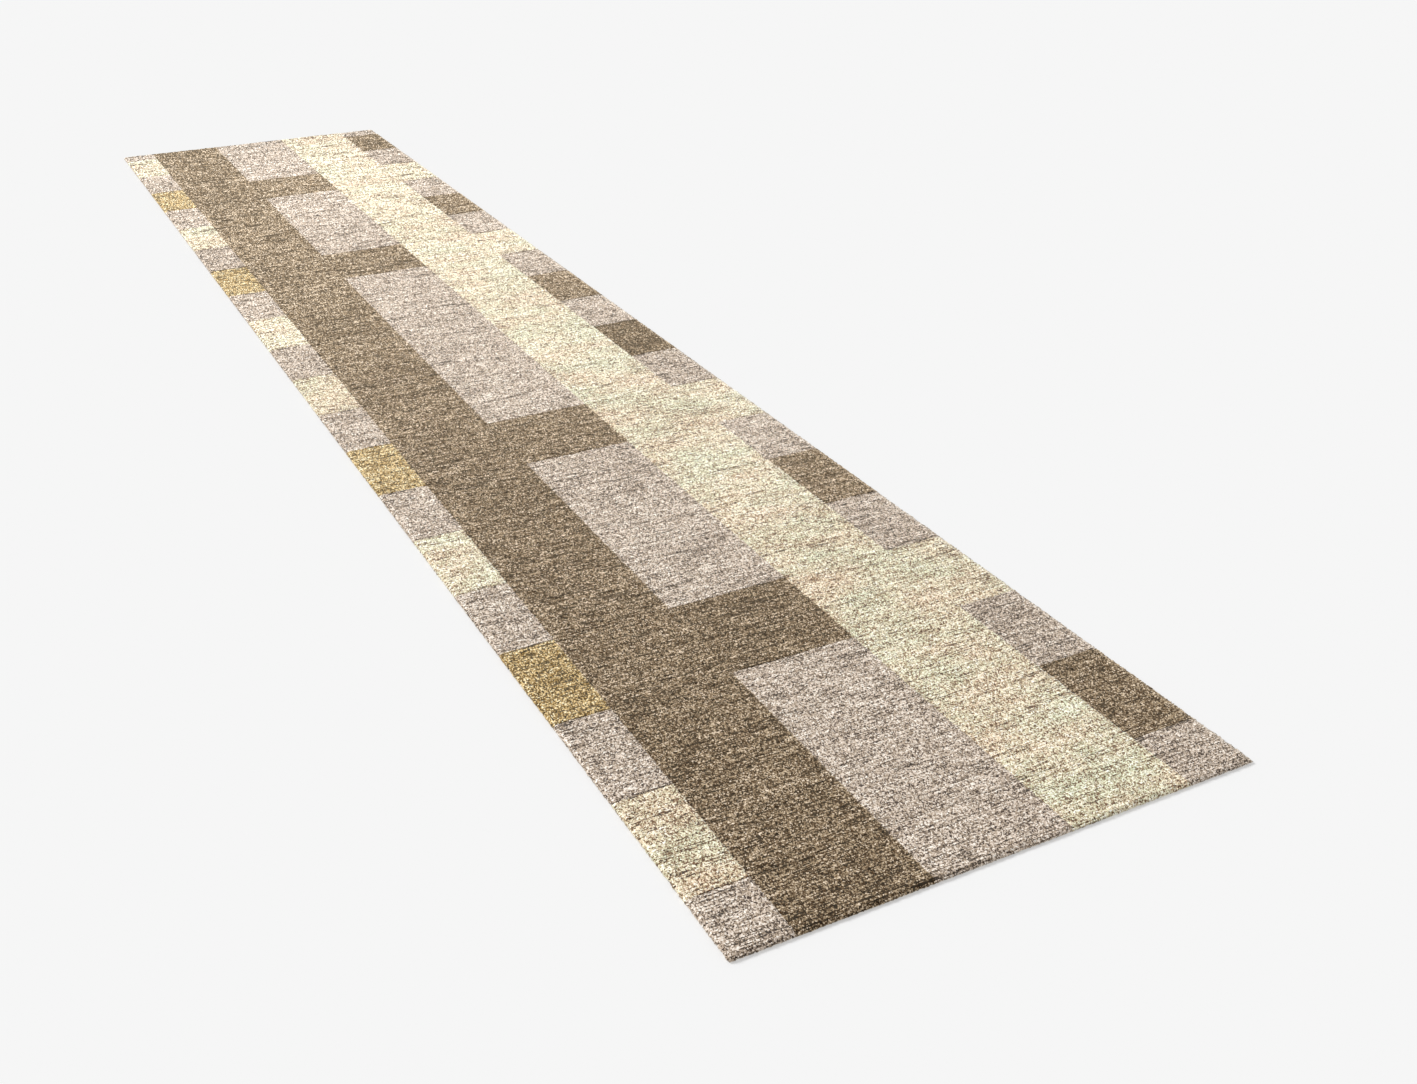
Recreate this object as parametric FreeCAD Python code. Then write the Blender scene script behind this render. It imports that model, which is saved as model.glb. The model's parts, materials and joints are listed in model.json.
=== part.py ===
import FreeCAD, Part

import os

# A runner rug, lying flat with its pile up. Millimetres, +Z up.
# The origin is the centre of the underside; the long sides run along Y and the front end is at -Y.

RUG_WIDTH = 800.0
RUG_LENGTH = 4000.0

# Layers, from the floor up.
BACKING_CLOTH = 0.7
LATEX = 0.8
GROUND_CLOTH = 0.7
PILE = 6.3
GROUND_TOP = BACKING_CLOTH + LATEX + GROUND_CLOTH
RUG_TOP = GROUND_TOP + PILE

# Hem: the ground cloth is turned under on all four sides, and a tape covers its raw edge.
HEM_WIDTH = 30.0
TAPE_THICKNESS = 0.4
TAPE_INSET = 2.0
HEM_TOP = TAPE_THICKNESS + GROUND_CLOTH

# Pattern across the rug: five columns, given by their boundaries measured from the left side.
COLUMN_EDGES = (0.0, 87.0, 283.0, 495.0, 693.0, RUG_WIDTH)
LEFT_COLUMN, BROWN_COLUMN, MIDDLE_COLUMN, CREAM_COLUMN, RIGHT_COLUMN = range(5)

# Pattern along the rug: a short greige row at the front, then coloured and greige rows in turn.
FIRST_ROW = 108.0
COLOURED_ROW = 207.0
GREIGE_ROW = 195.0
LEFT_COLOURS = ("cream", "gold", "cream", "gold", "cream", "cream", "gold", "cream", "gold", "cream")
LAST_ROW = 2 * len(LEFT_COLOURS)


def row_edges():
    """Boundaries of the rows, from the front end to the back end."""
    edges = [0.0, FIRST_ROW]
    for _ in LEFT_COLOURS[1:]:
        edges.append(edges[-1] + COLOURED_ROW)
        edges.append(edges[-1] + GREIGE_ROW)
    edges.append(edges[-1] + COLOURED_ROW)
    edges.append(RUG_LENGTH)
    return edges


ROW_EDGES = row_edges()
# The brown and the cream bands each throw out an arm to the right in every row that has a gold block.
ARM_ROWS = [2 * place + 1 for place, colour in enumerate(LEFT_COLOURS) if colour == "gold"]


def slab(half_width, half_length, bottom, top):
    """A flat block centred on the Z axis."""
    corner = FreeCAD.Vector(-half_width, -half_length, bottom)
    return Part.makeBox(2 * half_width, 2 * half_length, top - bottom, corner)


def pile_block(column, first_row, last_row):
    """The pile of one colour field: one column, from one row to another."""
    left = COLUMN_EDGES[column] - RUG_WIDTH / 2
    right = COLUMN_EDGES[column + 1] - RUG_WIDTH / 2
    front = ROW_EDGES[first_row] - RUG_LENGTH / 2
    back = ROW_EDGES[last_row + 1] - RUG_LENGTH / 2
    corner = FreeCAD.Vector(left, front, GROUND_TOP)
    return Part.makeBox(right - left, back - front, PILE, corner)


def row_colour(row, coloured):
    """Even rows are greige; odd rows take their colour from the given list."""
    return coloured[row // 2] if row % 2 else "greige"


def left_blocks():
    """A chain of small blocks along the left side: greige, then cream or gold."""
    return {
        f"left_block_{row + 1:02d}_{row_colour(row, LEFT_COLOURS)}": pile_block(LEFT_COLUMN, row, row)
        for row in range(LAST_ROW + 1)
    }


def right_blocks():
    """Small blocks along the right side: greige and brown, broken by the cream arms."""
    colours = ["brown"] * len(LEFT_COLOURS)
    return {
        f"right_block_{row + 1:02d}_{row_colour(row, colours)}": pile_block(RIGHT_COLUMN, row, row)
        for row in range(LAST_ROW + 1)
        if row not in ARM_ROWS
    }


def middle_fields():
    """The long greige fields between the brown arms."""
    starts = [0] + [row + 1 for row in ARM_ROWS]
    ends = [row - 1 for row in ARM_ROWS] + [LAST_ROW]
    return {
        f"middle_field_{number}_greige": pile_block(MIDDLE_COLUMN, start, end)
        for number, (start, end) in enumerate(zip(starts, ends), 1)
    }


def bands_and_arms():
    """The two bands that run the whole length, and their arms to the right."""
    shapes = {
        "brown_band": pile_block(BROWN_COLUMN, 0, LAST_ROW),
        "cream_band": pile_block(CREAM_COLUMN, 0, LAST_ROW),
    }
    for number, row in enumerate(ARM_ROWS, 1):
        shapes[f"brown_arm_{number}"] = pile_block(MIDDLE_COLUMN, row, row)
        shapes[f"cream_arm_{number}"] = pile_block(RIGHT_COLUMN, row, row)
    return shapes


def ground_cloth():
    """The woven cloth that holds the pile, folded under along all four sides."""
    outside = slab(RUG_WIDTH / 2, RUG_LENGTH / 2, TAPE_THICKNESS, GROUND_TOP)
    fold_inside = slab(
        RUG_WIDTH / 2 - GROUND_CLOTH,
        RUG_LENGTH / 2 - GROUND_CLOTH,
        HEM_TOP,
        GROUND_TOP - GROUND_CLOTH,
    )
    between_hems = slab(RUG_WIDTH / 2 - HEM_WIDTH, RUG_LENGTH / 2 - HEM_WIDTH, 0.0, HEM_TOP)
    return outside.cut(fold_inside).cut(between_hems)


def latex_coat():
    """Latex that locks the tufts: thick in the field, thin inside the folded hem."""
    in_hem = slab(
        RUG_WIDTH / 2 - GROUND_CLOTH,
        RUG_LENGTH / 2 - GROUND_CLOTH,
        HEM_TOP,
        GROUND_TOP - GROUND_CLOTH,
    )
    field = slab(RUG_WIDTH / 2 - HEM_WIDTH, RUG_LENGTH / 2 - HEM_WIDTH, BACKING_CLOTH, HEM_TOP)
    return in_hem.fuse(field).removeSplitter()


def backing_cloth():
    """The cotton cloth on the underside, between the hems."""
    return slab(RUG_WIDTH / 2 - HEM_WIDTH, RUG_LENGTH / 2 - HEM_WIDTH, 0.0, BACKING_CLOTH)


def tape(half_across, half_along, turns):
    """A tape along the right side of a rectangle, mitred at both ends, turned about Z by quarter turns."""
    outer = half_across - TAPE_INSET
    inner = half_across - HEM_WIDTH
    outer_end = half_along - TAPE_INSET
    inner_end = half_along - HEM_WIDTH
    corners = [(outer, -outer_end), (outer, outer_end), (inner, inner_end), (inner, -inner_end)]
    points = [FreeCAD.Vector(x, y, 0) for x, y in corners]
    outline = Part.makePolygon(points + points[:1])
    shape = Part.Face(outline).extrude(FreeCAD.Vector(0, 0, TAPE_THICKNESS))
    shape.rotate(FreeCAD.Vector(0, 0, 0), FreeCAD.Vector(0, 0, 1), 90 * turns)
    return shape


def tapes():
    """The four tapes sewn over the raw edge of the hem."""
    return {
        "right_tape": tape(RUG_WIDTH / 2, RUG_LENGTH / 2, 0),
        "back_tape": tape(RUG_LENGTH / 2, RUG_WIDTH / 2, 1),
        "left_tape": tape(RUG_WIDTH / 2, RUG_LENGTH / 2, 2),
        "front_tape": tape(RUG_LENGTH / 2, RUG_WIDTH / 2, 3),
    }


def rug():
    """Every piece of the rug, by name."""
    shapes = {
        "backing_cloth": backing_cloth(),
        "latex_coat": latex_coat(),
        "ground_cloth": ground_cloth(),
    }
    for group in (tapes(), left_blocks(), bands_and_arms(), middle_fields(), right_blocks()):
        shapes.update(group)
    return shapes


def main():
    os.makedirs("parts", exist_ok=True)
    shapes = rug()
    for name, shape in shapes.items():
        shape.exportStep(f"parts/{name}.step")
    print(len(shapes), "pieces, rug", RUG_WIDTH, "x", RUG_LENGTH, "x", RUG_TOP)


main()
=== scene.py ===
import json
import math

import bmesh
import bpy
import numpy as np
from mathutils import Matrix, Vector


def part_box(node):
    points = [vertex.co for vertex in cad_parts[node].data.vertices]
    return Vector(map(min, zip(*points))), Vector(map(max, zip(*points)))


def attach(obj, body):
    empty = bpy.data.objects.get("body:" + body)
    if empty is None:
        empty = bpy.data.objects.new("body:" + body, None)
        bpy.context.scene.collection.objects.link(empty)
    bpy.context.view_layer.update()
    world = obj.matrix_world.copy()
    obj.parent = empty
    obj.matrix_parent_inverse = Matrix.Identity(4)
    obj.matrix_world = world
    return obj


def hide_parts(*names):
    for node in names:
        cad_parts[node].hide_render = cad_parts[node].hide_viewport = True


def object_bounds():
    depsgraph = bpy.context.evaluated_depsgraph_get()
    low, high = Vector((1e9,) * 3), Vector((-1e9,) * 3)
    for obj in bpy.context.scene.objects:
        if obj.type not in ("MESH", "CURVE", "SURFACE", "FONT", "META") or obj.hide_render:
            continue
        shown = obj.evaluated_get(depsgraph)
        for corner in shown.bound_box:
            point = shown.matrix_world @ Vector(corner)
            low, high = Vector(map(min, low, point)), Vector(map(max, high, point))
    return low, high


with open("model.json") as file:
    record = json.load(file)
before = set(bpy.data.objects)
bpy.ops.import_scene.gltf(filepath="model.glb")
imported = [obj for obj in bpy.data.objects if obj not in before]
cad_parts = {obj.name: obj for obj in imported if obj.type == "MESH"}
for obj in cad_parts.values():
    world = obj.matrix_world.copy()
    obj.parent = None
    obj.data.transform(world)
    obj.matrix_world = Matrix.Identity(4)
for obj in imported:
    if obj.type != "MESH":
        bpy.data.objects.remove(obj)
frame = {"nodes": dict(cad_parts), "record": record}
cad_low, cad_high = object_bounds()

# A wool runner rug on a pale studio floor. Metres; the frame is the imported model's.

SEED = 4107
RUG_HALF_LENGTH = cad_high[1]
SAME_LINE = 1e-4            # box faces nearer to each other than this lie on one line of the pattern

# The pile's surface: one tuft stands on every second point of a lattice, in every second line of it.
TUFT_HALF_PITCH = 0.002
TIP_RISE = 0.00030          # tuft tips stand this much above the pile's mean surface
GAP_DROP = 0.00015          # gaps between tufts of one weft row lie this much below it
VALLEY_DROP = 0.00035       # and the gaps between weft rows this much
TIP_SCATTER = 0.00034       # how unevenly single tufts are cut
TIP_LIMITS = (-2.5, 2.0)    # no tuft is lower or higher than these multiples of the scatter
SHEARING_SCATTER = 0.00025  # and how unevenly small patches of these sizes, in lattice points, are sheared
SHEARING_CELLS = ((3, 2), (14, 5))
TOP_CLEARANCE = 0.0008      # the mean surface lies this far below the CAD block's top
EDGE_ROUNDING = 0.0030
EDGE_DROP = 0.6             # how far the rounding drops, as a share of its radius

# How far lattice points stray sideways, and how far they do on the lines between blocks.
# A limit is a multiple of its scatter.
LATTICE_SCATTER = 0.00055
LATTICE_LIMIT = 1.4
BORDER_SCATTER = 0.0008
BORDER_SCATTER_ALONG = 0.0004
BORDER_LIMIT = 1.2

# Where the shade of partings in the pile is painted, from 0, closed. Cells are in lattice points, across and
# along the rug.
PATCH_CELLS = (50, 8)
PATCH_DEPTH = 0.35
PATCH_DEPTH_FAR = 0.25      # patches are deeper by this much at the far end
PATCH_FLOOR = 0.1
PATCH_MOST = 0.8
SPECK_CELLS = (8, 6)
SPECK_FLOOR = 0.8
SPECK_MOST = 1.2
FAR_SPECKS = 0.8            # how strongly the far end is speckled with the painted shade of small partings
BORDER_CELLS = (30, 5)
BORDER_DEPTH = 0.9          # painted shade of partings on the lines between the small blocks of both sides
BORDER_MOST = 2
BORDER_WIDENING = 5         # they reach this many lattice points farther at the far end
FRONT_SHADE_REACH = 0.05           # how far in from the front end more parting shade is painted
FRONT_SHADE_DEPTH = 0.35
FRONT_SHADE_TO_X = 0.14            # it does so left of this place, fully so one fade width farther left
FRONT_SHADE_FADE = 0.1

# Painted shade and light on the wool, as a value at each point: low places between tufts are painted darker,
# high tips lighter. 0 is the darkest tuft, 1 a light one.
TIP_SPREAD = 0.0011         # a point this far below or above the mean surface is at 0 or 1
TIP_MOST = 1.4              # no tuft is lighter than this, even along the sides
LEFT_HIGHLIGHT_WIDTH = 0.014      # painted highlight along the sides, where the light catches the tufts
LEFT_RIM_HIGHLIGHT = 0.9
LEFT_HIGHLIGHT_FADING = 1.6       # on the left it fades from the front end on, gone after 1 / 1.6 of the length
RIGHT_HIGHLIGHT_WIDTH = 0.008
RIGHT_RIM_HIGHLIGHT = 0.8
SIDE_TIP = 0.45             # the leaning tufts of the sides
SIDE_TIP_SCATTER = 0.25

# How the outermost tufts lean out over the folded cloth: (share of the pile's height, outward lean).
SIDE_LEAN = ((0.86, 0.0009), (0.62, 0.0016), (0.38, 0.0021), (0.12, 0.0022), (-0.12, 0.0020))
SIDE_SCATTER = 0.0004
SIDE_LIMIT = 1.5
SIDE_RISE_SHARE = 0.4       # they stray up and down by this share of what they stray outwards
RIGHT_LEAN = 2.2            # on the right side they lean out and scatter more, by these factors
RIGHT_SCATTER = 2.5
RIM_STEP = 0.0002           # they start at least this far below the rim
TUCK_OUT = 0.0001           # where they tuck in below the pile, they end this far outside the CAD block
INNER_LEAST = 0.02          # between blocks the rings are upright and don't reach the bottom:
INNER_DEPTH = 0.98          # they stop at these shares of the pile's height, and the last one
INNER_STEP = 0.00005        # this far above it

# Wool colours. Lightness goes from 0, the darkest fibre, to 1, the lightest.
TUFT_CELLS = (620, 500, 450)    # flecks per metre, each like the cut end of a tuft
RUN_CELLS = (34, 640, 400)      # long thin flecks, like runs of one yarn along a weft row
PARTED_RUNS = 0.4           # in fully parted pile, this share of the runs is painted as dark dashes, the shade in the gaps
PARTING_SHADE = 0.17        # how much darker a dash's painted shade is
CELL_SHADE = 0.010          # how much the yarn's lightness varies from one block of the pattern to the next
# Some blocks are from a lighter or darker lot of yarn than the rest: (name starts, colour, shade).
LOT_SHADES = (("right_block", "brown", 0.018), ("right_block", "greige", -0.020),
              ("right_block_07", "greige", 0.035), ("right_block_10", "brown", -0.08),
              ("right_block_20", "brown", -0.035), ("left_block_02", "cream", -0.04),
              ("left_block_04", "gold", -0.03), ("left_block_11", "greige", -0.035),
              ("left_block_15", "greige", -0.045), ("left_block_18", "gold", 0.02))
MIDDLE = 0.69               # the lightness that stays put where contrast rises
# Fibres: (lightness, how far the fibre is from its yarn's colour, as a share of the wool's spread).
FIBRES = ((0.09, -2.2), (0.34, -1.2), (0.54, -0.1), (0.80, 0.55), (1.0, 0.95))
DARK_FIBRES = 0.5           # below this lightness a mottle of two yarns has fibres of the first only
DARKEST = 0.25              # the darkest fibre, as a share of its yarn's colour
FLECK_TINT = (1.0, 1.05, 1.16)  # a fibre's blue changes more than its red, so light fibres are greyer
FAR_STRETCH = 0.088         # how fast the wool's flecks grow longer towards the far end, and wider
FAR_WIDENING = 0.07
FAR_RUNS = 0.5              # how much of the weft runs' contrast is left at the far end

CLOTH_THICKNESS = 0.0007
HEM_WIDTH = 0.030
PUCKER_MEAN = 0.5           # how the backing is puckered, as shares of its lift
PUCKER_SPREAD = 0.3
PUCKER_CELLS = (3, 3)
WAVE_LENGTH = 0.314         # length of one wave of the wave texture at scale 1
TAPE_BANDS = 8              # strips across a tape, and the length of the steps along it
TAPE_STEP = 0.02
TAPE_DOME = 0.00012
TAPE_LIFT = 0.00022         # the tape's edges are pulled up this far from the floor
TAPE_FLAT = 0.12            # share of a tape's width that is flat, on each side of the dome
STITCH_PITCH = 0.0075
STITCH_LENGTH = 0.0052
STITCH_INSET = 0.0025
# One stitch: (place along it, how full the thread is there).
STITCH_PROFILE = ((-0.5, 0.0), (-0.38, 0.75), (-0.12, 1.0), (0.12, 1.0), (0.38, 0.75), (0.5, 0.0))
STITCH_SINK = 0.4           # its middle is this share of the thread's radius lower than its ends
THREAD_RADIUS = 0.00035
THREAD_LEAST = 0.15
THREAD_HEIGHT = 0.6         # the thread is flattened to this share of its width
THREAD_SIDES = 5

CAMERA_PLACE = (-1.029, -3.129, 1.245)
CAMERA_TURN = (61.49, -0.12, -27.95)
CAMERA_LENS = 38.7

PALE_FLOOR = 0.91
FLOOR_SIZE = 120
FLOOR_GLOW = 0.35           # part of the floor's lightness that is its own glow
SKY_SHARE = 0.48            # part of the floor's light that comes from all round
KEY_TILT = 52               # about how far the soft light is from overhead, in degrees; then its width
KEY_WIDTH = 25
KEY_TURN = (0.6, 0.8)       # shares of the tilt about X, from behind, and about Y, from the left
WASH_PLACE = (-0.3, 1.4, 2.8)
WASH_SIZE = 1.0
WASH_SHARE = 1.00           # light that the wash adds to the rug right below it; the sky and key give 1


# ---------------------------------------------------------------- materials


def srgb(red, green, blue):
    """A linear colour from 0 to 255 screen values."""
    def linear(value):
        value /= 255
        return value / 12.92 if value <= 0.04045 else ((value + 0.055) / 1.055) ** 2.4

    return (linear(red), linear(green), linear(blue), 1.0)


class Nodes:
    """A short way to build one material's node tree."""

    def __init__(self, name):
        self.material = bpy.data.materials.new(name)
        self.material.use_nodes = True
        self.tree = self.material.node_tree
        self.shader = self.tree.nodes["Principled BSDF"]

    def add(self, kind, **settings):
        node = self.tree.nodes.new(kind)
        for key, value in settings.items():
            setattr(node, key, value)
        return node

    def link(self, source, target):
        self.tree.links.new(source, target)

    def put(self, value, socket):
        """Gives a socket a value, which may be a number, a colour or another node's output."""
        if isinstance(value, (int, float, tuple)):
            socket.default_value = value
        else:
            self.link(value, socket)

    def place(self, scale):
        """Object coordinates in metres, multiplied by scale on each axis."""
        coordinates = self.add("ShaderNodeTexCoord")
        mapping = self.add("ShaderNodeMapping")
        mapping.inputs["Scale"].default_value = scale
        self.link(coordinates.outputs["Object"], mapping.inputs["Vector"])
        return mapping.outputs["Vector"]

    def axes(self):
        """Object coordinates in metres, as three separate values."""
        parts = self.add("ShaderNodeSeparateXYZ")
        self.link(self.place((1, 1, 1)), parts.inputs[0])
        return parts.outputs

    def towards_far(self, far_value):
        """A value that goes from 1 at the front end of the rug to far_value at the far end."""
        return self.span(self.axes()["Y"], -RUG_HALF_LENGTH, RUG_HALF_LENGTH, 1.0, far_value)

    def noise(self, scale, detail=2.0, roughness=0.5):
        """Noise with the given number of features per metre on each axis."""
        node = self.add("ShaderNodeTexNoise")
        node.inputs["Scale"].default_value = 1.0
        node.inputs["Detail"].default_value = detail
        node.inputs["Roughness"].default_value = roughness
        self.link(self.place(scale), node.inputs["Vector"])
        return node.outputs["Fac"]

    def stretched(self, scale):
        """Object coordinates times scale, in which things grow longer and wider towards the far end."""
        x, y, z = self.axes()
        run = self.math("ADD", y, RUG_HALF_LENGTH)
        narrowing = self.math("SUBTRACT", 1.0, self.math("MULTIPLY", run, FAR_WIDENING))
        shortening = self.math("SUBTRACT", 1.0, self.math("MULTIPLY", run, FAR_STRETCH))
        values = (self.math("MULTIPLY", x, narrowing), self.math("MULTIPLY", run, shortening), z)
        joined = self.add("ShaderNodeCombineXYZ")
        for socket, value, times in zip(joined.inputs, values, scale):
            self.link(self.math("MULTIPLY", value, times), socket)
        return joined.outputs[0]

    def cells(self, scale):
        """Cells like tufts: each one's random lightness and hue, and a point's distance from its middle."""
        cells = self.add("ShaderNodeTexVoronoi")
        cells.inputs["Scale"].default_value = 1.0
        self.link(self.stretched(scale), cells.inputs["Vector"])
        values = self.add("ShaderNodeSeparateColor")
        self.link(cells.outputs["Color"], values.inputs["Color"])
        return values.outputs["Red"], values.outputs["Green"], cells.outputs["Distance"]

    def attribute(self, name):
        """A value stored at each point of the mesh."""
        return self.add("ShaderNodeAttribute", attribute_name=name).outputs["Fac"]

    def math(self, operation, first, second):
        node = self.add("ShaderNodeMath", operation=operation)
        self.put(first, node.inputs[0])
        self.put(second, node.inputs[1])
        return node.outputs[0]

    def span(self, value, low, high, to_low=0.0, to_high=1.0):
        """A value mapped from one range to another, and kept inside it."""
        node = self.add("ShaderNodeMapRange")
        for name, number in zip(("From Min", "From Max", "To Min", "To Max"), (low, high, to_low, to_high)):
            node.inputs[name].default_value = number
        self.link(value, node.inputs["Value"])
        return node.outputs["Result"]

    def ramp(self, factor, stops):
        """The colour of a ramp at factor; stops are (place, colour)."""
        node = self.add("ShaderNodeValToRGB")
        while len(node.color_ramp.elements) < len(stops):
            node.color_ramp.elements.new(0.5)
        for element, (place, colour) in zip(node.color_ramp.elements, stops):
            element.position = place
            element.color = colour
        self.link(factor, node.inputs["Fac"])
        return node.outputs["Color"]

    def mix(self, factor, first, second):
        node = self.add("ShaderNodeMix", data_type="RGBA")
        self.link(factor, node.inputs["Factor"])
        self.put(first, node.inputs[6])
        self.put(second, node.inputs[7])
        return node.outputs[2]

    def bump(self, height, distance, strength):
        node = self.add("ShaderNodeBump")
        node.inputs["Strength"].default_value = strength
        node.inputs["Distance"].default_value = distance
        self.link(height, node.inputs["Height"])
        self.link(node.outputs["Normal"], self.shader.inputs["Normal"])

    def surface(self, colour, **settings):
        """Sets the shader's colour, and its other inputs by name, with _ for a space."""
        self.put(colour, self.shader.inputs["Base Color"])
        for name, value in settings.items():
            self.shader.inputs[name.replace("_", " ")].default_value = value


def fibre(yarn, spread, step):
    """The colour of a fibre that is lighter or darker than its yarn by a step of the wool's spread."""
    channels = []
    for channel, tint in zip(yarn, FLECK_TINT):
        channels.append(min(255, max(DARKEST * channel, channel + spread * tint * step)))
    return srgb(*channels)


def fibres(yarn, dark_yarn, spread):
    """A ramp's stops from the darkest fibre to the lightest. The dark ones are of dark_yarn."""
    return [(lightness, fibre(dark_yarn if lightness < DARK_FIBRES else yarn, spread, step))
            for lightness, step in FIBRES]


def wool_lightness(nodes, flecks, gap_shade, run_lightness, far_contrast):
    """How light the wool is at a point, with all that adds to it or takes from it."""
    # Painted shade of partings: where the pile is parted, some runs are painted as dark dashes.
    parting = nodes.math("SUBTRACT", nodes.math("MULTIPLY", nodes.attribute("parted"), PARTED_RUNS),
                         run_lightness)
    runs = nodes.math("MULTIPLY", nodes.math("SUBTRACT", run_lightness, 0.5), nodes.towards_far(FAR_RUNS))
    # (source, its value where it adds nothing, its value where it adds all its share, that share)
    parts = (
        (flecks, 0.0, 1.0, 0.64),
        # painted shade: darker away from each fleck's middle, in the gaps between the tufts
        (gap_shade, 0.9, 0.1, 0.10),
        # painted shade in the pits between tufts, painted light on their tips and along the rims
        (nodes.attribute("tip"), 0.0, TIP_MOST, 0.14),
        (runs, -0.5, 0.5, 0.27),
        (parting, -0.06, 0.0, -PARTING_SHADE),
        (nodes.noise((18, 40, 30)), 0.35, 0.65, 0.03),
    )
    value = nodes.attribute("shade")
    for source, low, high, share in parts:
        value = nodes.math("ADD", nodes.math("MULTIPLY", nodes.span(source, low, high), share), value)
    contrast = nodes.towards_far(far_contrast)
    value = nodes.math("MULTIPLY", nodes.math("SUBTRACT", value, MIDDLE), contrast)
    return nodes.math("ADD", value, MIDDLE)


def wool(name, yarn, spread, far_contrast, sheen, sheen_tint, second_yarn=None):
    """Cut wool pile, its flecks lighter and darker than its yarn. A second yarn lies in it in patches."""
    nodes = Nodes(name)
    lightness, hue, gap_shade = nodes.cells(TUFT_CELLS)
    run_lightness = nodes.cells(RUN_CELLS)[0]
    value = wool_lightness(nodes, lightness, gap_shade, run_lightness, far_contrast)
    colour = nodes.ramp(value, fibres(yarn, yarn, spread))
    if second_yarn:
        patches = nodes.span(nodes.noise((5, 9, 9), detail=4.0, roughness=0.65), 0.37, 0.63)
        mottle = nodes.math("ADD", nodes.math("MULTIPLY", hue, 0.5), nodes.math("MULTIPLY", patches, 0.5))
        colour = nodes.mix(mottle, colour, nodes.ramp(value, fibres(second_yarn, yarn, spread)))
    nodes.surface(colour, Roughness=0.92, Specular_IOR_Level=0.15, Sheen_Weight=sheen, Sheen_Roughness=0.5,
                  Sheen_Tint=(*sheen_tint, 1.0))
    nodes.bump(nodes.noise((1000, 1000, 1000)), 0.0004, 0.5)
    return nodes.material


def weave(name, dark, light, pitch, lean=0.0):
    """Plain cotton weave; lean tilts the yarns, as in a herringbone tape."""
    nodes = Nodes(name)
    threads = []
    for direction in ("X", "Y"):
        wave = nodes.add("ShaderNodeTexWave", wave_type="BANDS", bands_direction=direction)
        wave.inputs["Scale"].default_value = WAVE_LENGTH / pitch
        wave.inputs["Distortion"].default_value = 0.6
        wave.inputs["Detail"].default_value = 1.0
        turned = nodes.add("ShaderNodeMapping")
        turned.inputs["Rotation"].default_value = (0.0, 0.0, lean)
        nodes.link(nodes.place((1, 1, 1)), turned.inputs["Vector"])
        nodes.link(turned.outputs["Vector"], wave.inputs["Vector"])
        threads.append(wave.outputs["Fac"])
    crossing = nodes.math("MAXIMUM", *threads)
    slubs = nodes.noise((20, 220, 20), detail=3.0)
    value = nodes.math("ADD", nodes.math("MULTIPLY", crossing, 0.55), nodes.math("MULTIPLY", slubs, 0.6))
    nodes.surface(nodes.ramp(value, [(0.25, dark), (0.95, light)]), Roughness=0.88, Specular_IOR_Level=0.2,
                  Sheen_Weight=0.15)
    nodes.bump(crossing, 0.0002, 0.7)
    return nodes.material


def latex(name):
    """A dull latex coat, slightly uneven."""
    nodes = Nodes(name)
    cloud = nodes.noise((60, 60, 60), detail=4.0)
    colours = [(0.3, srgb(205, 198, 178)), (0.7, srgb(226, 221, 204))]
    nodes.surface(nodes.ramp(cloud, colours), Roughness=0.6)
    nodes.bump(cloud, 0.0003, 0.6)
    return nodes.material


def thread(name):
    """Twisted cotton sewing thread."""
    nodes = Nodes(name)
    twist = nodes.noise((900, 900, 900), detail=1.0)
    colours = [(0.3, srgb(150, 132, 104)), (0.7, srgb(188, 170, 140))]
    nodes.surface(nodes.ramp(twist, colours), Roughness=0.7)
    return nodes.material


def floor_paint(name):
    """Matt pale floor, lit a little from below, so that shadows on it stay light."""
    nodes = Nodes(name)
    paint = PALE_FLOOR - FLOOR_GLOW
    nodes.surface((paint, paint, paint, 1.0), Emission_Color=(1.0, 1.0, 1.0, 1.0),
                  Emission_Strength=FLOOR_GLOW, Roughness=1.0, Specular_IOR_Level=0.0)
    return nodes.material


MATERIALS = {
    "pile_greige": wool("greige_wool", (172, 154, 134), spread=98, far_contrast=1.2,
                        sheen=0.5, sheen_tint=(1.0, 0.90, 0.76)),
    "pile_brown": wool("brown_wool", (80, 55, 16), spread=166, far_contrast=1.68,
                       sheen=0.5, sheen_tint=(1.0, 0.80, 0.55)),
    "pile_cream": wool("cream_wool", (213, 181, 149), spread=88, far_contrast=1.15,
                       sheen=0.5, sheen_tint=(1.0, 0.96, 0.90), second_yarn=(191, 198, 163)),
    "pile_gold": wool("gold_wool", (144, 111, 45), spread=166, far_contrast=1.3,
                      sheen=0.6, sheen_tint=(1.0, 0.85, 0.60)),
    "ground_cotton": weave("ground_cotton", srgb(178, 164, 138), srgb(214, 204, 182), 0.0012),
    "latex": latex("latex"),
    "backing_cotton": weave("backing_cotton", srgb(184, 172, 148), srgb(222, 213, 194), 0.0016),
    "cotton_tape": weave("cotton_tape", srgb(168, 150, 122), srgb(206, 190, 162), 0.0010, lean=math.pi / 4),
}


# ---------------------------------------------------------------- mesh helpers


def make_piece(name, points, faces, material):
    """A mesh piece that rides on the rug."""
    mesh = bpy.data.meshes.new(name)
    mesh.from_pydata(points, [], faces)
    mesh.update()
    mesh.shade_smooth()
    piece = bpy.data.objects.new(name, mesh)
    bpy.context.scene.collection.objects.link(piece)
    mesh.materials.append(material)
    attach(piece, "root")
    return piece


def consistent_normals(piece):
    """Makes a closed mesh's faces all look outwards."""
    work = bmesh.new()
    work.from_mesh(piece.data)
    bmesh.ops.recalc_face_normals(work, faces=work.faces)
    work.to_mesh(piece.data)
    work.free()


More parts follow.
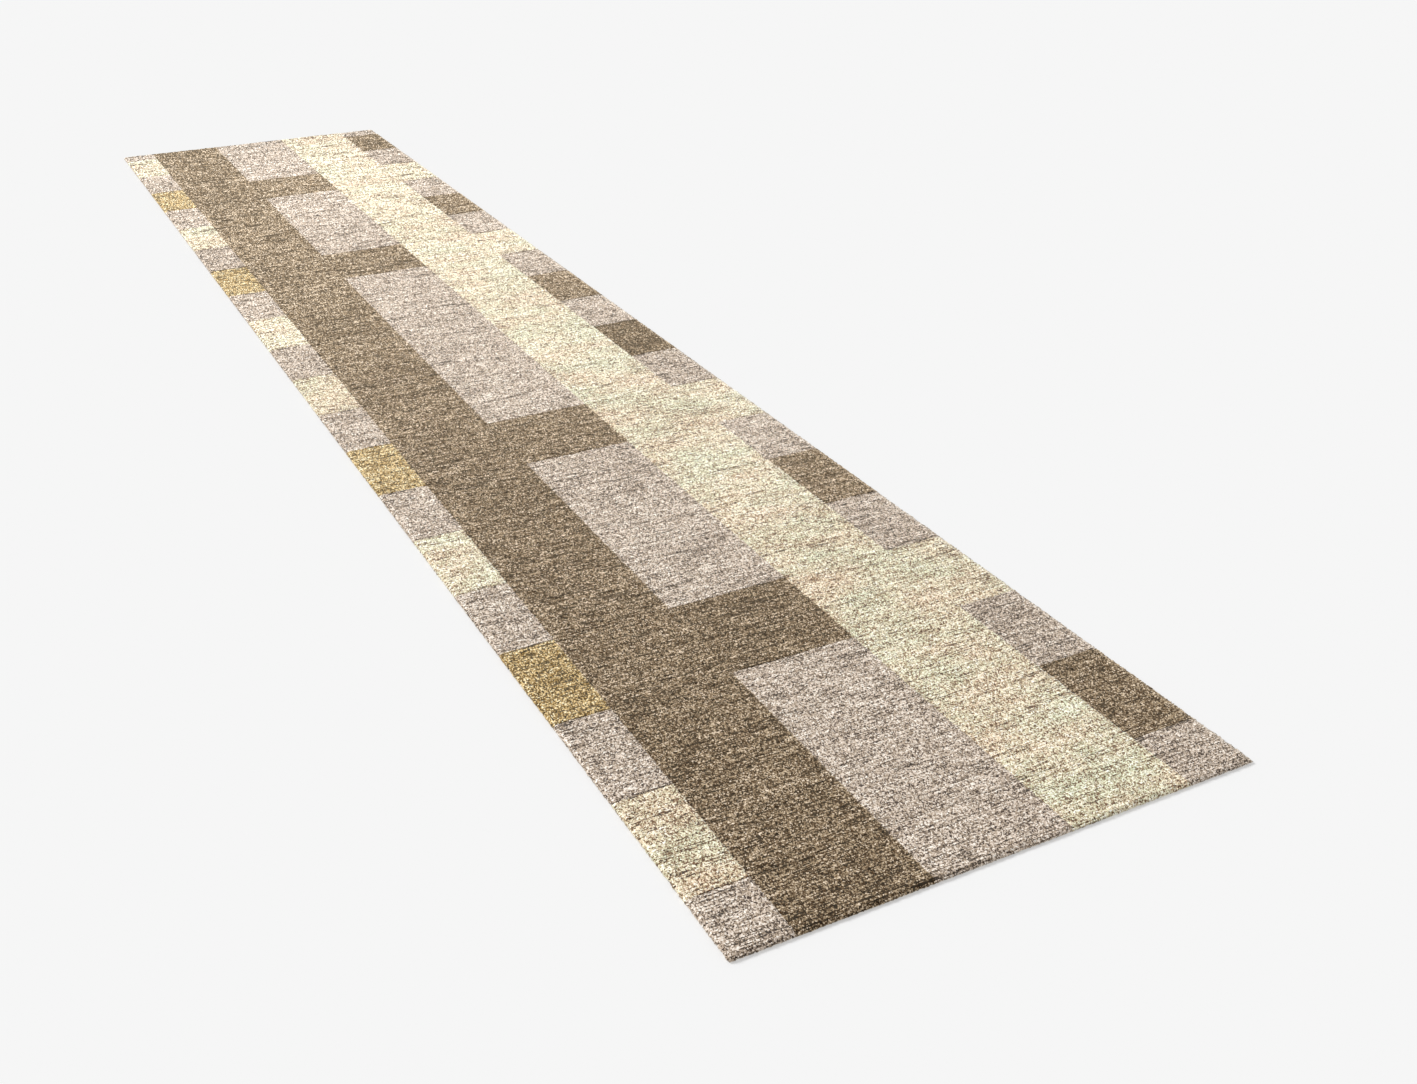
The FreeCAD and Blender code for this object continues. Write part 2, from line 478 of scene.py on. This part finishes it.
def apply_modifiers(piece):
    """Turns a piece's modifiers into its own mesh."""
    bpy.context.view_layer.update()
    made = bpy.data.meshes.new_from_object(piece.evaluated_get(bpy.context.evaluated_depsgraph_get()))
    piece.modifiers.clear()
    piece.data = made


def grid(shape):
    """Numbers of a grid's points, and its faces, which look up."""
    number = np.arange(shape[0] * shape[1]).reshape(shape)
    quads = np.stack([number[:-1, :-1], number[1:, :-1], number[1:, 1:], number[:-1, 1:]], -1)
    return number, quads.reshape(-1, 4)


def border_loop(count_x, count_y):
    """Indices of a grid's border, in order round it."""
    front = [(i, 0) for i in range(count_x - 1)]
    right = [(count_x - 1, j) for j in range(count_y - 1)]
    back = [(i, count_y - 1) for i in range(count_x - 1, 0, -1)]
    left = [(0, j) for j in range(count_y - 1, 0, -1)]
    return front + right + back + left


def smooth_noise(rng, shape, cells):
    """Random values with unit spread, smooth over the given number of lattice cells in each direction."""
    coarse_shape = [max(4, int(n / c) + 3) for n, c in zip(shape, cells)]
    coarse = rng.standard_normal(coarse_shape)
    for axis, (count, cell) in enumerate(zip(shape, cells)):
        at = np.arange(count) / cell
        low = at.astype(int)
        share = at - low
        share = share * share * (3 - 2 * share)
        share = share.reshape([-1 if k == axis else 1 for k in range(2)])
        coarse = np.take(coarse, low, axis) * (1 - share) + np.take(coarse, low + 1, axis) * share
    return coarse / coarse.std()


def scatter(rng, shape, size, limit):
    """Random values of the given size, none of them beyond limit times that size."""
    return size * np.clip(rng.standard_normal(shape), -limit, limit)


# ---------------------------------------------------------------- pile: its surface


NODE_SLOTS = {part["node"]: part["material_slot"] for part in frame["record"]["subparts"]}
PILE_BOXES = {node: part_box(node) for node in frame["nodes"] if NODE_SLOTS[node].startswith("pile_")}
PILE_BOTTOM = min(low[2] for low, high in PILE_BOXES.values())
PILE_TOP = max(high[2] for low, high in PILE_BOXES.values())


def boundaries(axis):
    """The lines of the pattern along one axis: the distinct faces of the pile's boxes, lowest first."""
    found = sorted(round(corner[axis], 5) for box in PILE_BOXES.values() for corner in box)
    return [value for k, value in enumerate(found) if k == 0 or value - found[k - 1] > SAME_LINE]


def lattice_line(lines):
    """Lattice coordinates along one axis, with a point on every boundary, and each boundary's index."""
    values, index = [lines[0]], [0]
    for low, high in zip(lines, lines[1:]):
        steps = 2 * round((high - low) / TUFT_HALF_PITCH / 2)
        values.extend(low + (high - low) * k / steps for k in range(1, steps + 1))
        index.append(len(values) - 1)
    return np.array(values), index


COLUMN_LINES = boundaries(0)
ROW_LINES = boundaries(1)
ACROSS, ACROSS_INDEX = lattice_line(COLUMN_LINES)
ALONG, ALONG_INDEX = lattice_line(ROW_LINES)


def tuft_relief(rng, i, j):
    """Heights over the mean surface: tips, gaps and valleys, and the unevenness of the shearing."""
    on_row = j % 2 == 1
    on_tuft = (i + j // 2) % 2 == 0
    relief = np.where(on_row, np.where(on_tuft, TIP_RISE, -GAP_DROP), -VALLEY_DROP)
    relief = relief + TIP_SCATTER * np.clip(rng.standard_normal(i.shape), *TIP_LIMITS)
    for cells in SHEARING_CELLS:
        relief = relief + SHEARING_SCATTER * smooth_noise(rng, i.shape, cells)
    return relief


def loose_partings(rng, towards_far):
    """Painted shade of partings that lie anywhere: in patches along the weft, and in small specks towards
    the far end.
    """
    depth = PATCH_DEPTH + PATCH_DEPTH_FAR * towards_far
    patches = depth * smooth_noise(rng, towards_far.shape, PATCH_CELLS) - PATCH_FLOOR
    specks = np.clip(smooth_noise(rng, towards_far.shape, SPECK_CELLS) - SPECK_FLOOR, 0, SPECK_MOST)
    return np.clip(patches, 0, PATCH_MOST) + FAR_SPECKS * specks * towards_far


def part_borders(rng, parted):
    """Paints the shade of partings along the lines between the small blocks of both sides."""
    count_x, count_y = parted.shape
    place = np.arange(count_x)
    side_blocks = (place < ACROSS_INDEX[1]) | (place > ACROSS_INDEX[-2])
    for k in ALONG_INDEX[1:-1]:
        reach = 1 + round(BORDER_WIDENING * k / count_y)
        noise = smooth_noise(rng, (count_x, 2 * reach + 1), BORDER_CELLS)
        border = np.clip(BORDER_DEPTH + BORDER_DEPTH * noise, 0, BORDER_MOST)
        parted[side_blocks, k - reach:k + reach + 1] = border[side_blocks]


def painted_front_shade(x, y):
    """Painted parting shade along the left part of the front end, where the wool is painted darker."""
    near_front = np.clip(1 - (y - y[0, 0]) / FRONT_SHADE_REACH, 0, 1)
    near_left = np.clip((FRONT_SHADE_TO_X - x) / FRONT_SHADE_FADE, 0, 1)
    return FRONT_SHADE_DEPTH * (near_front * near_left)


def lattice_shifts(rng, shape):
    """How far each lattice point strays across and along the rug. None leaves the rug's outline."""
    shift_x = scatter(rng, shape, LATTICE_SCATTER, LATTICE_LIMIT)
    shift_y = scatter(rng, shape, LATTICE_SCATTER, LATTICE_LIMIT)
    for k in ACROSS_INDEX:
        shift_x[k] = scatter(rng, shape[1], BORDER_SCATTER, BORDER_LIMIT)
    for k in ALONG_INDEX:
        shift_y[:, k] = scatter(rng, shape[0], BORDER_SCATTER_ALONG, BORDER_LIMIT)
    shift_x[0] = np.abs(shift_x[0])
    shift_x[-1] = -np.abs(shift_x[-1])
    shift_y[:, 0] = np.abs(shift_y[:, 0])
    shift_y[:, -1] = -np.abs(shift_y[:, -1])
    return shift_x, shift_y


def painted_rim_highlights(x, towards_far):
    """Painted highlight: how much lighter the tufts are painted along the left and the right side."""
    left = LEFT_RIM_HIGHLIGHT * np.clip(1 - (x - x[0, 0]) / LEFT_HIGHLIGHT_WIDTH, 0, 1)
    right = RIGHT_RIM_HIGHLIGHT * np.clip(1 - (x[-1, 0] - x) / RIGHT_HIGHLIGHT_WIDTH, 0, 1)
    return left * np.clip(1 - LEFT_HIGHLIGHT_FADING * towards_far, 0, 1) + right


def rounded(x, y, z):
    """Heights with all four edges of the rug rounded off."""
    for inward in (x - x[0, 0], x[-1, 0] - x, y - y[0, 0], y[0, -1] - y):
        short = np.clip(EDGE_ROUNDING - inward, 0, EDGE_ROUNDING)
        z = z - EDGE_DROP * (EDGE_ROUNDING - np.sqrt(EDGE_ROUNDING ** 2 - short ** 2))
    return z


def pile_lattice():
    """The pile's surface: x, y, z of its points, their painted shade and light, and their painted parting
    shade, indexed by place across and along.
    """
    rng = np.random.default_rng(SEED)
    x, y = np.meshgrid(ACROSS, ALONG, indexing="ij")
    i, j = np.meshgrid(np.arange(len(ACROSS)), np.arange(len(ALONG)), indexing="ij")
    towards_far = j / len(ALONG)
    relief = tuft_relief(rng, i, j)
    parted = loose_partings(rng, towards_far)
    part_borders(rng, parted)
    parted = parted + painted_front_shade(x, y)
    shift_x, shift_y = lattice_shifts(rng, x.shape)
    # Painted shade and light: points below the mean surface are painted darker, those above it lighter, and
    # the rims' painted highlight is added.
    tip = np.clip(0.5 + 0.5 * relief / TIP_SPREAD + painted_rim_highlights(x, towards_far), 0, TIP_MOST)
    z = rounded(x, y, PILE_TOP - TOP_CLEARANCE + relief)
    return x + shift_x, y + shift_y, z, tip, parted


LATTICE = pile_lattice()
SIDE_NOISE = np.random.default_rng(SEED + 1)


# ---------------------------------------------------------------- pile: its pieces


def facing(places, count, cell, cell_count):
    """For each place along one axis of a cell: 1 or -1 where it is on the rug's high or low side, else 0."""
    at_high = cell == cell_count - 1
    at_low = cell == 0
    return np.array([int(at_high and place == count - 1) - int(at_low and place == 0) for place in places])


def side_height(share):
    """Height of the place that lies at a share of the pile's height."""
    return PILE_BOTTOM + share * (PILE_TOP - PILE_BOTTOM)


def leaning_ring(rim, sideways, endways, share, lean):
    """A ring of points round a cell: on the rug's own sides it leans out, between blocks it is upright."""
    stray = scatter(SIDE_NOISE, (len(rim), 2), SIDE_SCATTER, SIDE_LIMIT)
    right = sideways > 0
    ring = rim.copy()
    ring[:, 0] += sideways * (lean * np.where(right, RIGHT_LEAN, 1)
                              + stray[:, 0] * np.where(right, RIGHT_SCATTER, 1))
    ring[:, 1] += endways * (lean + stray[:, 0])
    outer = np.minimum(side_height(share) + SIDE_RISE_SHARE * stray[:, 1], rim[:, 2] - RIM_STEP)
    inner = rim[:, 2] + (PILE_BOTTOM - rim[:, 2]) * (1 - max(share, INNER_LEAST)) * INNER_DEPTH
    ring[:, 2] = np.where((sideways != 0) | (endways != 0), outer, inner)
    return ring


def tucked_ring(rim, sideways, endways):
    """The ring where the leaning tufts tuck in below the pile."""
    ring = rim.copy()
    ring[:, 0] += sideways * TUCK_OUT
    ring[:, 1] += endways * TUCK_OUT
    lowest = side_height(SIDE_LEAN[-1][0])
    ring[:, 2] = np.where((sideways != 0) | (endways != 0), lowest, PILE_BOTTOM + INNER_STEP)
    return ring


def side_rings(rim, sideways, endways):
    """Rings of points down a cell's sides, the last one round its bottom."""
    rings = []
    if sideways.any() or endways.any():
        rings = [leaning_ring(rim, sideways, endways, share, lean) for share, lean in SIDE_LEAN]
        rings.append(tucked_ring(rim, sideways, endways))
    bottom = rim.copy()
    bottom[:, 2] = PILE_BOTTOM
    return rings + [bottom]


def side_faces(rim_numbers, first, ring_count):
    """Faces down a cell's sides and over its bottom; first is the number of the first ring's first point."""
    count = len(rim_numbers)
    rings = [rim_numbers]
    for k in range(ring_count):
        rings.append(list(range(first + k * count, first + (k + 1) * count)))
    faces = []
    for upper, lower in zip(rings, rings[1:]):
        for k in range(count):
            after = (k + 1) % count
            faces.append((upper[after], upper[k], lower[k], lower[after]))
    faces.append(tuple(reversed(rings[-1])))
    return faces


def lot_shade(name):
    """How much lighter or darker a block's lot of yarn is."""
    return sum(shade for start, colour, shade in LOT_SHADES if name.startswith(start) and colour in name)


def store_wool_values(piece, tip, parted, on_right, ring_count):
    """Stores the painted tip shading, the painted parting shade and the block's tone at each point of a
    cell: those of its top, then those of its rings.
    """
    side_count = ring_count * len(on_right)
    side_tip_shading = SIDE_TIP + SIDE_TIP_SCATTER * SIDE_NOISE.standard_normal(side_count)
    # The right side's rings get the same painted highlight.
    side_tip_shading = np.clip(side_tip_shading + RIGHT_RIM_HIGHLIGHT * np.tile(on_right, ring_count), 0, TIP_MOST)
    shade = CELL_SHADE * SIDE_NOISE.standard_normal() + lot_shade(piece.name)
    stored = {
        "tip": np.concatenate([tip.ravel(), side_tip_shading]),
        "parted": np.concatenate([parted.ravel(), np.zeros(side_count)]),
        "shade": np.full(tip.size + side_count, shade),
    }
    for label, values in stored.items():
        attribute = piece.data.attributes.new(label, "FLOAT", "POINT")
        attribute.data.foreach_set("value", values.astype(np.float32))


def pile_cell(name, column, row, slot):
    """The pile of one cell of the pattern: its tufted top, its sides and its flat bottom."""
    i0, i1 = ACROSS_INDEX[column], ACROSS_INDEX[column + 1] + 1
    j0, j1 = ALONG_INDEX[row], ALONG_INDEX[row + 1] + 1
    x, y, z, tip, parted = (field[i0:i1, j0:j1] for field in LATTICE)
    top = np.stack([x, y, z], -1).reshape(-1, 3)
    number, quads = grid(x.shape)
    loop = border_loop(*x.shape)
    rim_numbers = [int(number[at]) for at in loop]
    sideways = facing([i for i, j in loop], x.shape[0], column, len(COLUMN_LINES) - 1)
    endways = facing([j for i, j in loop], x.shape[1], row, len(ROW_LINES) - 1)
    rings = side_rings(top[rim_numbers], sideways, endways)
    faces = quads.tolist() + side_faces(rim_numbers, len(top), len(rings))
    piece = make_piece(name, np.concatenate([top, *rings]).tolist(), faces, MATERIALS[slot])
    store_wool_values(piece, tip, parted, sideways > 0, len(rings))
    return piece


def node_over(x, y):
    """The pile node whose box covers a place."""
    return next(node for node, (low, high) in PILE_BOXES.items()
                if low.x < x < high.x and low.y < y < high.y)


def pile():
    """One piece for every cell of the pattern, standing for the node that covers it."""
    cells = []
    for column in range(len(COLUMN_LINES) - 1):
        for row in range(len(ROW_LINES) - 1):
            x = (COLUMN_LINES[column] + COLUMN_LINES[column + 1]) / 2
            y = (ROW_LINES[row] + ROW_LINES[row + 1]) / 2
            node = node_over(x, y)
            cell = pile_cell(f"{node}_pile_row_{row + 1:02d}", column, row, NODE_SLOTS[node])
            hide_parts(node)
            cells.append(cell)
    return cells


# ---------------------------------------------------------------- cloths, tapes and thread


def cloth_sheet(name, node, lift, step):
    """A thin cloth that fills a node's box, with a slight pucker on its underside."""
    low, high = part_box(node)
    rng = np.random.default_rng(SEED + len(name))
    across = np.linspace(low.x, high.x, round((high.x - low.x) / step) + 1)
    along = np.linspace(low.y, high.y, round((high.y - low.y) / step) + 1)
    x, y = np.meshgrid(across, along, indexing="ij")
    pucker = lift * np.clip(PUCKER_MEAN + PUCKER_SPREAD * smooth_noise(rng, x.shape, PUCKER_CELLS), 0, 1)
    under = np.stack([x, y, low.z + pucker], -1).reshape(-1, 3)
    top = np.stack([x, y, np.full_like(x, high.z)], -1).reshape(-1, 3)
    number, quads = grid(x.shape)
    faces = quads[:, ::-1].tolist() + (quads + x.size).tolist()
    ring = [int(number[at]) for at in border_loop(*x.shape)]
    for k, start in enumerate(ring):
        end = ring[(k + 1) % len(ring)]
        faces.append((start, end, end + x.size, start + x.size))
    slot = NODE_SLOTS[node]
    piece = make_piece(name, np.concatenate([under, top]).tolist(), faces, MATERIALS[slot])
    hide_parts(node)
    return piece


def fold_profile(bottom, top):
    """A hem's section, from its raw edge round the fold to the rug's top side: (inset, height)."""
    half_thick = CLOTH_THICKNESS / 2
    radius = (top - bottom) / 2
    turns = 6
    profile = [(HEM_WIDTH, bottom), (HEM_WIDTH / 2, bottom)]
    for k in range(turns + 1):
        turn = math.pi * k / turns
        inset = half_thick + radius * (1 - math.sin(turn))
        profile.append((inset, (top + bottom) / 2 - radius * math.cos(turn)))
    return profile + [(HEM_WIDTH / 2, top), (HEM_WIDTH, top)]


def rectangle_loop(a, b, across, along):
    """Points round a rectangle of half sizes a and b, with this many steps across and along it."""
    loop = [(-a + 2 * a * k / across, -b) for k in range(across)]
    loop += [(a, -b + 2 * b * k / along) for k in range(along)]
    loop += [(a - 2 * a * k / across, b) for k in range(across)]
    loop += [(-a, b - 2 * b * k / along) for k in range(along)]
    return loop


def folded_ground_cloth():
    """The ground cloth: one sheet folded under on all four sides, with rounded folds."""
    low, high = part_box("ground_cloth")
    half_x, half_y = (high.x - low.x) / 2, (high.y - low.y) / 2
    profile = fold_profile(low.z + CLOTH_THICKNESS / 2, high.z - CLOTH_THICKNESS / 2)
    along = 80
    across = 16
    count = 2 * (across + along)
    points, faces = [], []
    for inset, z in profile:
        loop = rectangle_loop(half_x - inset, half_y - inset, across, along)
        points += [(x, y, z) for x, y in loop]
    for level in range(len(profile) - 1):
        for k in range(count):
            after = (k + 1) % count
            faces.append((level * count + k, level * count + after,
                          (level + 1) * count + after, (level + 1) * count + k))
    faces.append(tuple(range((len(profile) - 1) * count, len(profile) * count)))
    piece = make_piece("ground_cloth_folded", points, faces, MATERIALS["ground_cotton"])
    solidify = piece.modifiers.new("thickness", "SOLIDIFY")
    solidify.thickness = CLOTH_THICKNESS
    solidify.offset = 0.0
    apply_modifiers(piece)
    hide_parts("ground_cloth")
    return piece


def tape_points(side, low, high, count):
    """Points of a tape's underside, then of its upper side, band by band inwards."""
    lengthwise = side in ("left", "right")
    axis = 0 if lengthwise else 1
    width = high[axis] - low[axis]
    length = high[1 - axis] - low[1 - axis]
    sign = 1 if side in ("right", "back") else -1
    outer = high[axis] if sign > 0 else -low[axis]
    points = []
    for under in (True, False):
        for b in range(TAPE_BANDS + 1):
            inset = width * b / TAPE_BANDS
            over_dome = (b / TAPE_BANDS - TAPE_FLAT) / (1 - 2 * TAPE_FLAT)
            dome = TAPE_DOME * math.sin(math.pi * min(1, max(0, over_dome)))
            z = low.z + TAPE_LIFT - dome if under else high.z
            for k in range(count + 1):
                run = (length / 2 - inset) * (2 * k / count - 1)
                across = sign * (outer - inset)
                points.append((across, run, z) if lengthwise else (run, across, z))
    return points


def tape_faces(count):
    """Faces of a tape of that many steps: both its sides, its long edges and its ends."""
    def at(level, b, k):
        return (level * (TAPE_BANDS + 1) + b) * (count + 1) + k

    faces = []
    for b in range(TAPE_BANDS):
        for k in range(count):
            faces.append((at(0, b, k), at(0, b + 1, k), at(0, b + 1, k + 1), at(0, b, k + 1)))
            faces.append((at(1, b, k), at(1, b, k + 1), at(1, b + 1, k + 1), at(1, b + 1, k)))
    for b in (0, TAPE_BANDS):
        for k in range(count):
            faces.append((at(0, b, k), at(0, b, k + 1), at(1, b, k + 1), at(1, b, k)))
    for k in (0, count):
        for b in range(TAPE_BANDS):
            faces.append((at(0, b, k), at(1, b, k), at(1, b + 1, k), at(0, b + 1, k)))
    return faces


def tape(side):
    """A cotton tape with mitred ends, slightly domed between its two lines of stitches."""
    node = f"{side}_tape"
    low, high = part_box(node)
    count = round(max(high.x - low.x, high.y - low.y) / TAPE_STEP)
    points = tape_points(side, low, high, count)
    piece = make_piece(node + "_sewn", points, tape_faces(count), MATERIALS["cotton_tape"])
    consistent_normals(piece)
    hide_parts(node)
    return piece


def stitch_points(middle, line, floor_height, lengthwise):
    """Rings of points round one stitch."""
    points = []
    for share, fullness in STITCH_PROFILE:
        radius = max(fullness, THREAD_LEAST)
        for corner in range(THREAD_SIDES):
            turn = 2 * math.pi * corner / THREAD_SIDES
            run = middle + share * STITCH_LENGTH
            off = line + THREAD_RADIUS * radius * math.cos(turn)
            z = floor_height + THREAD_RADIUS + THREAD_HEIGHT * THREAD_RADIUS * radius * math.sin(turn)
            z -= STITCH_SINK * THREAD_RADIUS * fullness
            points.append((off, run, z) if lengthwise else (run, off, z))
    return points


def stitch_faces(first):
    """Faces of one stitch and its two ends; first is the number of its first point."""
    last_ring = first + (len(STITCH_PROFILE) - 1) * THREAD_SIDES
    faces = []
    for a in range(first, last_ring, THREAD_SIDES):
        b = a + THREAD_SIDES
        for corner in range(THREAD_SIDES):
            after = (corner + 1) % THREAD_SIDES
            faces.append((a + corner, a + after, b + after, b + corner))
    faces.append(tuple(first + corner for corner in range(THREAD_SIDES)))
    faces.append(tuple(last_ring + corner for corner in reversed(range(THREAD_SIDES))))
    return faces


def stitches(side, material):
    """Two lines of running stitches, one along each edge of a tape."""
    low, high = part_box(f"{side}_tape")
    lengthwise = side in ("left", "right")
    axis = 0 if lengthwise else 1
    half_run = (high[1 - axis] - low[1 - axis]) / 2 - HEM_WIDTH
    count = int(2 * half_run / STITCH_PITCH)
    points, faces = [], []
    for line in (low[axis] + STITCH_INSET, high[axis] - STITCH_INSET):
        for k in range(count):
            middle = -half_run + (k + 0.5) * 2 * half_run / count
            faces += stitch_faces(len(points))
            points += stitch_points(middle, line, low.z, lengthwise)
    piece = make_piece(f"{side}_tape_stitches", points, faces, material)
    consistent_normals(piece)
    return piece


# ---------------------------------------------------------------- studio


def camera():
    """The camera, low in front of the rug and left of it."""
    data = bpy.data.cameras.new("camera")
    data.lens = CAMERA_LENS
    eye = bpy.data.objects.new("camera", data)
    eye.location = CAMERA_PLACE
    eye.rotation_euler = [math.radians(angle) for angle in CAMERA_TURN]
    bpy.context.scene.collection.objects.link(eye)
    bpy.context.scene.camera = eye


def studio_floor():
    """A pale floor."""
    bpy.ops.mesh.primitive_plane_add(size=FLOOR_SIZE)
    floor = bpy.context.object
    floor.name = "floor"
    floor.data.materials.append(floor_paint("floor_paint"))


def sky():
    """An even white sky, which looks to the camera like the floor."""
    world = bpy.data.worlds.new("studio_sky")
    bpy.context.scene.world = world
    world.use_nodes = True
    tree = world.node_tree
    light = tree.nodes["Background"]
    light.inputs["Color"].default_value = (1.0, 1.0, 1.0, 1.0)
    light.inputs["Strength"].default_value = SKY_SHARE
    backdrop = tree.nodes.new("ShaderNodeBackground")
    backdrop.inputs["Color"].default_value = (1.0, 1.0, 1.0, 1.0)
    backdrop.inputs["Strength"].default_value = PALE_FLOOR
    rays = tree.nodes.new("ShaderNodeLightPath")
    either = tree.nodes.new("ShaderNodeMixShader")
    tree.links.new(rays.outputs["Is Camera Ray"], either.inputs["Fac"])
    tree.links.new(light.outputs[0], either.inputs[1])
    tree.links.new(backdrop.outputs[0], either.inputs[2])
    tree.links.new(either.outputs[0], tree.nodes["World Output"].inputs["Surface"])


def soft_key():
    """One soft light from behind the left side. With the sky, it makes a white floor about 1 bright."""
    tilt = math.radians(KEY_TILT)
    sun = bpy.data.lights.new("soft_key", "SUN")
    sun.energy = (1 - SKY_SHARE) * math.pi / math.cos(tilt)
    sun.angle = math.radians(KEY_WIDTH)
    lamp = bpy.data.objects.new("soft_key", sun)
    lamp.rotation_euler = (-tilt * KEY_TURN[0], -tilt * KEY_TURN[1], 0.0)
    bpy.context.scene.collection.objects.link(lamp)


def wash(lit):
    """A wide lamp over the far end, which lights the rug and not the floor."""
    area = bpy.data.lights.new("far_wash", "AREA")
    area.shape = "DISK"
    area.size = WASH_SIZE
    area.energy = WASH_SHARE * (math.pi * WASH_PLACE[2]) ** 2
    lamp = bpy.data.objects.new("far_wash", area)
    lamp.location = WASH_PLACE
    bpy.context.scene.collection.objects.link(lamp)
    group = bpy.data.collections.new("lit_by_wash")
    for piece in lit:
        group.objects.link(piece)
    lamp.light_linking.receiver_collection = group


def rug():
    """Everything that is part of the rug. Returns the pieces that the wash lights."""
    cells = pile()
    ground = folded_ground_cloth()
    backing = cloth_sheet("backing_cloth_laid", "backing_cloth", lift=0.0001, step=0.02)
    coat = frame["nodes"]["latex_coat"]
    coat.data.materials.clear()
    coat.data.materials.append(MATERIALS["latex"])
    sewing_thread = thread("sewing_thread")
    sides = ("left", "right", "front", "back")
    tapes = [tape(side) for side in sides]
    seams = [stitches(side, sewing_thread) for side in sides]
    return cells + [ground]


bpy.context.scene.view_settings.view_transform = "Standard"
bpy.context.scene.view_settings.look = "None"
camera()
studio_floor()
sky()
soft_key()
wash(rug())
